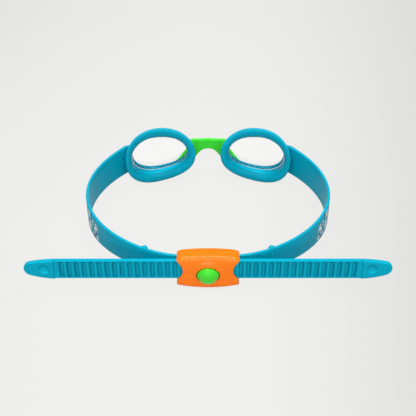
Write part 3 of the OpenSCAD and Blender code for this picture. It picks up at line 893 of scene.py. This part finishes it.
def buildFrames(material):
    bezel = cupRing("lensFrameRight", bezelProfile, True)
    applyModifier(bezel, "SUBSURF", levels=1, render_levels=1)
    mapPrint(bezel, lambda co: (0, 0), lambda middle, normal: False)
    endPiece(bezel, 50)

    limb = startBlock("templeArm", (-1, -1, -1), (1, 1, 1))
    roundBlock(0.5, arm["edge"], 3, arm["cuts"])
    for z in arm["slices"]:
        cutAt((0, 0, z), (0, 0, 1))
    mapPrint(limb, lambda co: ((co.x + 1) * arm["printAlong"], co.z * arm["printAcross"]), outerFace)
    mapVerts(limb, lambda co: armPoint((co.x + 1) / 2, co.y, co.z))
    faceOut(limb)
    endPiece(limb, 50)

    long, wide = arm["tongueLength"] / 2, arm["tongueWidth"] / 2
    tongue = startBlock("tongue", (-long, -0.5, -wide), (long, 0.5, wide))
    for x in arm["tongueSlices"]:
        cutAt((x, 0, 0), (1, 0, 0))
    closeEdit()
    for z in arm["holePlaces"]:      # holes that the strap's silicone fills
        pickNone()
        place = (0, 0, z * arm["tongueWidth"])
        bpy.ops.mesh.primitive_cylinder_add(vertices=32, radius=arm["hole"], depth=6, location=place,
                                            rotation=(math.pi / 2, 0, 0))
        drillOut(tongue)
    middle = strapRun - arm["tongueLength"] / 2 + arm["tongueLap"]
    mapVerts(tongue, lambda co: strapPoint(min(strapRun, middle + co.x),
                                           co.y * strap["thick"] / strap["armThick"],
                                           co.z * strap["width"] / strap["armWidth"]))
    joinPieces(bezel, limb, tongue)
    settlePair(bezel, "lensFrameLeft", "lens_frame", material)
    print("lens frames ready")


def buildStraps(material):
    thick, wide = strap["thick"] * 0.0005, strap["width"] * 0.0005
    band = startBlock("headStrapRight", (0, -thick, -wide), (strapRun * 0.001, thick, wide))
    roundBlock(0.01, strap["edge"], 4, strap["cuts"])
    for i in range(1, strap["turnCuts"] + 1):      # the tight turn gets its own cuts
        cutAt((turnRun * i / (strap["turnCuts"] * 1000), 0, 0), (1, 0, 0))
    closeEdit()
    mapPrint(band, lambda co: (co.x, co.z), outerFace)
    mapVerts(band, lambda co: strapPoint(co.x * 1000, co.y * 1000, co.z * 1000))
    faceOut(band)
    endPiece(band, 50)

    shares = [i / strap["steps"] for i in range(strap["steps"] + 1)]
    nubT = next(t for t in shares if along(plan, t).x >= strap["nubX"])
    here, aim = along(plan, nubT), planAim(nubT)
    out = strap["nubOut"]
    spot = Vector((here.x - aim.y * out, here.y + aim.x * out, strapHeight(nubT))) * 0.001
    height = (strapWidth(nubT) + strap["nubOver"]) * 0.001
    pickNone()
    radius = strap["nubRadius"] * 0.001
    bpy.ops.mesh.primitive_cylinder_add(vertices=40, radius=radius, depth=height, location=spot)
    nub = startPiece("stopNub")
    pickEdges(lambda a, b: abs(a.z - b.z) < 0.0001)
    bpy.ops.mesh.bevel(offset=strap["nubRound"] * 0.001, segments=4, affect="EDGES")
    closeEdit()
    bpy.ops.object.transform_apply(location=True, rotation=True, scale=True)
    endPiece(nub, 50)
    joinPieces(band, nub)
    settlePair(band, "headStrapLeft", "head_strap", material)
    print("head straps ready:", round(strapRun), "mm each")


tail = {      # millimetres
    "start": 11.5,
    "face": -63.7,
    "thick": 2.5,
    "width": 11.3,
    "shoulder": 83.2,
    "end": 99.3,
    "rail": 0.9,
    "pitch": 4.077,
    "groove": 2.05,
    "depth": 1.0,
    "firstGroove": 13.67,
    "lastGroove": 80.5,
    "mostGrooves": 30,
    "edge": 0.22,
    "tipWidth": 11.92,
    "tipProud": 0.6,
    "tipArc": 58,
    "tipLead": 2.3,
    "tipRound": 0.75,
    "dimpleX": 88.2,
    "dimpleZ": 0.7,
    "dimple": 3.0,
    "dimpleDepth": 1.35,
    "curl": 0.7,            # the tip's slight upward curl
    "curlFrom": 82.2,
    "turnCut": 14.7,        # up to here the bar is as thin as the strap that turns round the pin
    "turnEnd": 14.6,
    "tuck": 0.12,           # keeps the bar's end inside the tip
    "tuckFrom": 1.2,
    "shadeLift": 0.09,
}

feed = {      # millimetres: the strap that follows a pulled tail out of the clip
    "start": 13.5,
    "end": 31.45,
    "shrink": 0.04,         # draws every wall in, so that it hides inside the tail
}

ribShade = {      # painted shade on the tail: metres, and shares of the shade
    "First": tail["firstGroove"] * 0.001,
    "Pitch": tail["pitch"] * 0.001,
    "Half Groove": tail["groove"] * 0.0005,
    "Wall": 0.0006,
    "Middle": strap["clipZ"] * 0.001,
    "Rail": (tail["width"] / 2 - tail["rail"]) * 0.001,
    "Rail In": 0.0003,
    "Rail Out": 0.0004,
    "Fade": 0.0014,
    "Top Shade": 1.5,
    "In Groove": 0.75,
    "On Rib": 0.25,
    "Back": -0.0622,
    "From": 0.012,
    "To": 0.081,
    "Depth": 0.4,
    "Floor": 0.06,
    "Dimple X": tail["dimpleX"] * 0.001,
    "Dimple Z": (strap["clipZ"] + tail["dimpleZ"] + tail["shadeLift"]) * 0.001,
    "Dimple": tail["dimple"] * 0.001,
}


def ribGroup():      # painted shade where the ribs meet the groove floors and under the upper rail; in the dimple, painted shade above and painted light below
    group, given, out = startGroup("ribShade", ribShade, {"Shade": "Float"})
    maths = partial(addMath, group)
    place = addNode(group, "SeparateXYZ", {0: given["Vector"]}).outputs
    along, up = maths("ABSOLUTE", place["X"]), maths("SUBTRACT", place["Z"], given["Middle"])
    outside = maths("LESS_THAN", place["Y"], given["Back"])

    turn = maths("DIVIDE", maths("SUBTRACT", along, given["First"]), given["Pitch"])
    off = maths("MULTIPLY", maths("PINGPONG", turn, 0.5), given["Pitch"])      # from a groove's middle
    inside = maths("LESS_THAN", off, given["Half Groove"])
    fromWall = maths("ABSOLUTE", maths("SUBTRACT", off, given["Half Groove"]))
    wall = maths("SUBTRACT", 1, maths("DIVIDE", fromWall, given["Wall"]), clamp=True)
    fromRail = maths("SUBTRACT", given["Rail"], up)
    top = maths("SUBTRACT", 1, maths("DIVIDE", fromRail, given["Fade"]), clamp=True)
    top = maths("MULTIPLY", top, given["Top Shade"])
    share = maths("ADD", maths("MULTIPLY", inside, given["In Groove"]), given["On Rib"])
    between = maths("LESS_THAN", maths("ABSOLUTE", up), maths("SUBTRACT", given["Rail"], given["Rail In"]))
    deep = maths("MAXIMUM", maths("MULTIPLY", wall, between), maths("MULTIPLY", top, share))
    deep = maths("MAXIMUM", deep, maths("MULTIPLY", maths("MULTIPLY", inside, between), given["Floor"]))
    for gate in (maths("LESS_THAN", up, maths("ADD", given["Rail"], given["Rail Out"])), outside,
                 maths("GREATER_THAN", along, given["From"]), maths("LESS_THAN", along, given["To"])):
        deep = maths("MULTIPLY", deep, gate)

    # the dimple: painted shade in its upper part, painted light in its lower part
    across = maths("SUBTRACT", along, given["Dimple X"])
    over = maths("SUBTRACT", place["Z"], given["Dimple Z"])
    far = maths("SQRT", maths("ADD", maths("MULTIPLY", across, across), maths("MULTIPLY", over, over)))
    ring = maths("DIVIDE", far, given["Dimple"])
    dimpleShade = maths("MULTIPLY", ring, maths("DIVIDE", over, given["Dimple"]))
    dimpleShade = maths("MULTIPLY", maths("MULTIPLY", maths("LESS_THAN", ring, 1), dimpleShade), outside)
    dark = maths("MULTIPLY", maths("ADD", deep, dimpleShade), given["Depth"])
    fillNode(group, out, {"Shade": maths("SUBTRACT", 1, dark)})
    return group


# paints the shade of the grooves, the rail and the dimple into the tail's colour
def addRibShade(material, ribs):
    tree, shader, under = baseOf(material)
    where = addNode(tree, "TexCoord")
    effect = addNode(tree, "Group", node_tree=ribs)
    fillNode(tree, effect, {"Vector": where.outputs["Object"]})
    fillNode(tree, shader, {"Base Color": scaleTone(tree, under, effect.outputs["Shade"])})


def ribbedBar(name, start, end, shrink):      # shrink draws every wall in
    face, back = tail["face"] + shrink, tail["face"] + tail["thick"] - shrink
    half = tail["width"] / 2 - shrink
    bar = startBlock(name, (start, face, -half), (end, back, half))
    rail = half - tail["rail"] + 2 * shrink
    for z in (-rail, rail):
        cutAt((0, 0, z), (0, 0, 1))
    wide = tail["groove"] / 2 + shrink
    spots = [tail["firstGroove"] + tail["pitch"] * i for i in range(tail["mostGrooves"])]
    spots = [x for x in spots if x - wide > start and x + wide < min(end, tail["lastGroove"])]
    for x in spots:
        cutAt((x - wide, 0, 0), (1, 0, 0))
        cutAt((x + wide, 0, 0), (1, 0, 0))
    pickFaces(lambda mid, normal: normal.y < -0.9 and abs(mid.z) < rail
              and any(abs(mid.x - x) < wide for x in spots))
    bpy.ops.mesh.extrude_region_move(TRANSFORM_OT_translate={"value": (0, tail["depth"], 0)})
    closeEdit()
    return bar


def tipOutline(count=60):      # half outline of the tip, from the shoulder to the very end
    reach = tail["end"] - tail["shoulder"] + tail["tipLead"]
    side = math.sqrt(tail["tipArc"] ** 2 - tail["tipLead"] ** 2) - tail["tipWidth"] / 2
    endR = (tail["tipArc"] ** 2 - reach ** 2 - side ** 2) / (2 * (tail["tipArc"] - reach))
    arcX, endX = tail["shoulder"] - tail["tipLead"], tail["end"] - endR
    joinAngle = math.atan2(side, endX - arcX)      # where the long arc meets the round end
    firstAngle = math.acos(tail["tipLead"] / tail["tipArc"])
    points = []
    for i in range(count):
        a = blendOf(firstAngle, joinAngle, i / count)
        points.append((arcX + tail["tipArc"] * math.cos(a), tail["tipArc"] * math.sin(a) - side, a))
    for i in range(count // 2 + 1):
        a = blendOf(joinAngle, 0, i / (count // 2))
        points.append((endX + endR * math.cos(a), endR * math.sin(a), a))
    return points


def buildTip(name):
    outline = tipOutline()
    last = len(outline) - 1
    front, back = tail["face"] - tail["tipProud"], tail["face"] + tail["thick"]
    half = tail["tipWidth"] / 2
    tip = startBlock(name, (0, front, -half), (last, back, half))
    roundBlock(1, tail["tipRound"], 5, last - 1)

    def lay(co):      # x is the place along the outline, z the distance in from it
        x, z, a = outline[min(last, max(0, round(co.x)))]
        inward = half - abs(co.z)
        x, z = x - inward * math.cos(a), max(0, z - inward * math.sin(a))
        return Vector((x, co.y, math.copysign(z, co.z)))

    mapVerts(tip, lay)
    faceOut(tip, 0.004)
    ball = (tail["dimple"] ** 2 + tail["dimpleDepth"] ** 2) / (2 * tail["dimpleDepth"])
    pickNone()
    place = (tail["dimpleX"], front + tail["dimpleDepth"] - ball, tail["dimpleZ"])
    bpy.ops.mesh.primitive_uv_sphere_add(segments=96, ring_count=48, radius=ball, location=place)
    drillOut(tip)
    return tip


def placeTail(piece):      # millimetres to metres
    def lay(co):
        lift = tail["curl"] * max(0, (co.x - tail["curlFrom"]) / (tail["end"] - tail["curlFrom"])) ** 2
        return Vector((co.x, co.y, co.z + strap["clipZ"] + lift)) * 0.001
    mapVerts(piece, lay)


def buildTails(material):
    bar = ribbedBar("strapTailRight", tail["start"], tail["shoulder"] + 1, 0)
    openPiece(bar)
    cutAt((tail["turnCut"], 0, 0), (1, 0, 0))
    inner = tail["face"] + strap["thick"]

    def fit(co):
        if co.x < tail["turnEnd"]:
            return Vector((co.x, min(co.y, inner), co.z))
        tucked = co.x > tail["shoulder"] and co.y > tail["face"] + tail["tuckFrom"]
        return Vector((co.x, co.y - tail["tuck"] if tucked else co.y, co.z))

    mapVerts(bar, fit)
    roundEdges(bar, tail["edge"], 3)
    tip = buildTip("tailTip")
    joinPieces(bar, tip)
    placeTail(bar)
    endPiece(bar, 32)
    left = mirrorPiece(bar, "strapTailLeft")
    for piece in (bar, left):
        applyModifier(piece, "WEIGHTED_NORMAL", keep_sharp=True, weight=50)
    settle(bar, "strap_tail_right", "tail_right", material)
    settle(left, "strap_tail_left", "tail_left", material)

    follower = ribbedBar("strapFeedRight", feed["start"], feed["end"], feed["shrink"])
    roundEdges(follower, tail["edge"], 2)
    placeTail(follower)
    endPiece(follower, 40)
    for piece in (follower, mirrorPiece(follower, "strapFeedLeft")):
        dress(piece, material)
        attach(piece, "goggles")
    print("tails ready")


bridge = {      # millimetres and degrees, the voxel in metres
    "top": 27.7,
    "arch": 20.4,
    "drop": 5.5,
    "swing": 2.3,
    "dip": 0.25,
    "middleY": 66.4,
    "thick": 3,
    "lowAngle": 222,
    "highAngle": 160,
    "gap": 0.1,
    "lapOutside": 1.2,
    "lapDepth": 1.9,
    "lapReach": 4.1,
    "lapFrom": 166,
    "lapTo": 250,
    "rootInset": -0.6,
    "rootBack": -0.6,
    "dropMost": 9.4,        # the arch stops falling here
    "dropOver": 8.3,
    "hemInner": -3,
    "hemOuter": 0.8,
    "lowPower": 6,          # how late the arch's edges and depth run over into the root
    "highPower": 3,
    "depthPower": 2,
    "cuts": 15,
    "voxel": 0.0003,
    "rounds": 26,
}


def bridgeRoot(out, up):
    angle = math.radians(blendOf(bridge["lowAngle"], bridge["highAngle"], up))
    return cupPoint(angle, bridge["rootInset"], 1, bridge["rootBack"] + out * bridge["thick"] / 2)


def bridgePoint(share, out, up):      # an arch over the nose that runs in behind the eyecups
    root = bridgeRoot(out, up)
    x = root.x * 1000 * share
    fallen = min(x, bridge["dropMost"]) / bridge["dropOver"]
    low = bridge["arch"] - bridge["drop"] * fallen ** bridge["swing"]
    y = bridge["middleY"] + out * bridge["thick"] / 2
    high = bridge["top"] - bridge["dip"] * math.sin(math.pi * share)
    low = blendOf(low, root.z * 1000, share ** bridge["lowPower"])
    high = blendOf(high, root.z * 1000, share ** bridge["highPower"])
    y = blendOf(y, root.y * 1000, share ** bridge["depthPower"])
    return Vector((x, y, blendOf(low, high, up))) * 0.001


def lapPoint(share, inward, out):      # the soft end that laps over the frame's nose side
    angle = math.radians(blendOf(bridge["lapFrom"], bridge["lapTo"], share))
    reach = 1 + (bridge["lapReach"] - 1) * math.sin(math.pi * share)
    return cupPoint(angle, blendOf(-bridge["lapOutside"], reach, inward), 1,
                    blendOf(bridge["gap"], bridge["lapDepth"], out))


def hemPoint(share, inward, out):      # its edge, turned back along the frame's outside
    angle = math.radians(blendOf(bridge["lapFrom"], bridge["lapTo"], share))
    return cupPoint(angle, blendOf(-bridge["lapOutside"], -bridge["gap"], inward), 1,
                    blendOf(bridge["hemInner"], bridge["hemOuter"], out))


def bridgePart(name, low, shape):
    part = startBlock(name, low, (1, 1, 1))
    pickAll()
    bpy.ops.mesh.subdivide(number_cuts=bridge["cuts"])
    mapVerts(part, lambda co: shape(co.x, co.y, co.z))
    return part


def buildBridge(material):
    arch = bridgePart("noseBridge", (0, -1, 0), bridgePoint)
    lap = bridgePart("bridgeLap", (0, 0, 0), lapPoint)
    hem = bridgePart("bridgeHem", (0, 0, 0), hemPoint)
    joinPieces(arch, lap, hem)
    faceOut(arch)
    joinPieces(arch, mirrorPiece(arch, "bridgeTwin"))
    faceOut(arch)
    softenPiece(arch, bridge["voxel"], bridge["rounds"])
    endPiece(arch, 60)
    settle(arch, "nose_bridge", "goggles", material)
    print("nose bridge ready:", len(arch.data.polygons), "faces")


clip = {      # millimetres
    "lean": 1.6,          # how far the shell's upper front leans back
    "leanFrom": 13,
    "height": 20.3,
    "front": -65.15,
    "buttonZ": 9.15,
    "buttonHalf": 4.85,
    "buttonTaper": 0.07,
    "buttonWide": 0.97,
    "corner": 0.9,        # how far the top corners drop
    "leanOver": 4.65,
    "cornerX": 14.2,
    "cornerOver": 2.8,
    "cornerZ": 16,
    "cornerRise": 3,
    "taperFrom": 63.8,
    "taperOver": 1.5,
    "taperStart": 1,      # above the button's middle
    "taperPower": 1.5,
}


def clamp(value):
    return min(1, max(0, value))


def leanShell(co):
    up = max(0, (co.z * 1000 - clip["leanFrom"]) / (clip["height"] - clip["leanFrom"]))
    deep = clamp(1 - (co.y * 1000 - clip["front"]) / clip["leanOver"])
    side = clamp((abs(co.x) * 1000 - clip["cornerX"]) / clip["cornerOver"])
    side *= max(0, (co.z * 1000 - clip["cornerZ"]) / clip["cornerRise"])
    back, drop = 0.001 * clip["lean"] * up * up * deep, 0.001 * clip["corner"] * side ** 2
    return Vector((co.x, co.y + back, co.z - drop))


def taperButton(co):      # narrower below, wide above
    start = clip["taperStart"]
    down = max(0, (clip["buttonZ"] + start - co.z * 1000) / (clip["buttonHalf"] + start))
    front = clamp((-co.y * 1000 - clip["taperFrom"]) / clip["taperOver"])
    wide = clip["buttonWide"] - clip["buttonTaper"] * front * down ** clip["taperPower"]
    return Vector((co.x * wide, co.y, co.z))


soften = {      # voxel in metres, smoothing rounds
    "clip_cover": (0.00021, 5),
    "release_button": (0.0002, 4),
}


def softCopy(node, name, body, material, shape):
    piece = copyNode(node, name)
    softenPiece(piece, *soften[node])
    mapVerts(piece, shape)
    endPiece(piece, 50)
    settle(piece, node, body, material)
    print(name, "ready:", len(piece.data.polygons), "faces")


buildView()
buildFloor()
grain = grainGroup()
bubbles = bubbleGroup()
sealTeal = solidFinish("siliconeTeal", grain)
strapTeal = solidFinish("strapTeal", grain)
for printName in ("strapFoam", "strapDots"):
    addPrint(strapTeal, printName, bubbles)
addSealLightPaint(sealTeal, sealLightPaint["gain"])
addPrint(sealTeal, "cupDots", bubbles)
tailTeal = solidFinish("strapTeal", grain)
addRibShade(tailTeal, ribGroup())
frameTeal = solidFinish("frameTeal", grain)
for printName in ("armFoam", "armDots"):
    addPrint(frameTeal, printName, bubbles)
bridgeGreen = solidFinish("siliconeGreen", grain)
clipOrange = solidFinish("clipOrange", grain)
buttonGreen = solidFinish("buttonGreen", grain)
print("finishes ready")

buildSeals(sealTeal)
buildLenses(lensFinish("lensClear"), lensFinish("lensEdge"))
buildFrames(frameTeal)
buildStraps(strapTeal)
buildTails(tailTeal)
buildBridge(bridgeGreen)
softCopy("clip_cover", "clipShell", "goggles", clipOrange, leanShell)
softCopy("release_button", "releaseButton", "button", buttonGreen, taperButton)
dress(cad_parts["clip_base"], clipOrange)
pinSteel = steelFinish("pinSteel", 0.3)
for nodeName in ("guide_pin_left", "guide_pin_right"):
    dress(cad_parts[nodeName], pinSteel)
spring = copyNode("button_spring", "buttonSpring")      # gives way under the button
endPiece(spring, 60)
settle(spring, "button_spring", "goggles", steelFinish("springSteel", 0.35))
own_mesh(spring)
print("clip ready")
